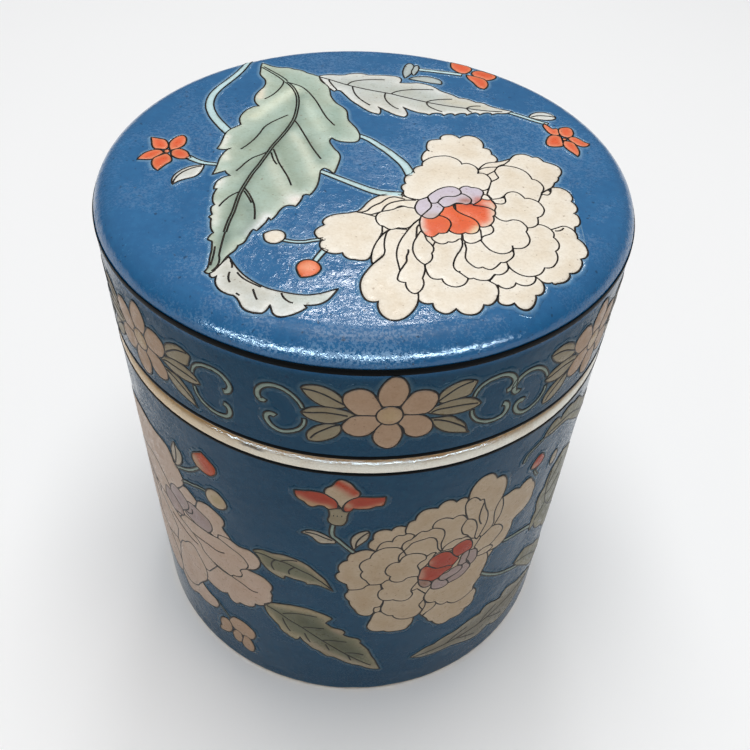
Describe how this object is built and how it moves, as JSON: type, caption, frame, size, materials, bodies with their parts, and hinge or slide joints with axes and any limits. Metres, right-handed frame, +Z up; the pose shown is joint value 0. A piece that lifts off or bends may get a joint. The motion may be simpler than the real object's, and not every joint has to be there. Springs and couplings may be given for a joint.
{
  "type": "tea caddy",
  "caption": "Round straight-sided porcelain tea caddy with a flat cap lid over a neck, an inner lid with a knob, and enamelled flowers on a blue ground.",
  "frame": {"origin": "centre of the foot ring's resting plane, on the table", "axes": "+Z up along the jar's axis; -Y is the side that faces the viewer, with a border flower in the middle of the cap's skirt"},
  "size_m": [0.102, 0.102, 0.115],
  "materials": {
    "blue_glaze": "glossy blue enamel over white porcelain",
    "white_porcelain": "clear-glazed white porcelain",
    "cream_enamel": "cream painted enamel",
    "green_enamel": "celadon green painted enamel",
    "orange_enamel": "iron-red painted enamel",
    "dark_line": "fired brown-black line"
  },
  "bodies": {
    "jar": {"jar": "blue_glaze"},
    "inner_lid": {"inner_lid": "white_porcelain"},
    "cap_lid": {"cap_lid": "blue_glaze"}
  },
  "joints": [
    {"name": "cap_lift", "type": "slide", "parent": "jar", "child": "cap_lid", "axis": [0, 0, 1], "range_m": [0, 0.1]},
    {"name": "inner_lid_lift", "type": "slide", "parent": "jar", "child": "inner_lid", "axis": [0, 0, 1], "range_m": [0, 0.04]}
  ],
  "couplings": [
    {"joint": "inner_lid_lift", "follows": "cap_lift", "ratio": 0.4}
  ]
}
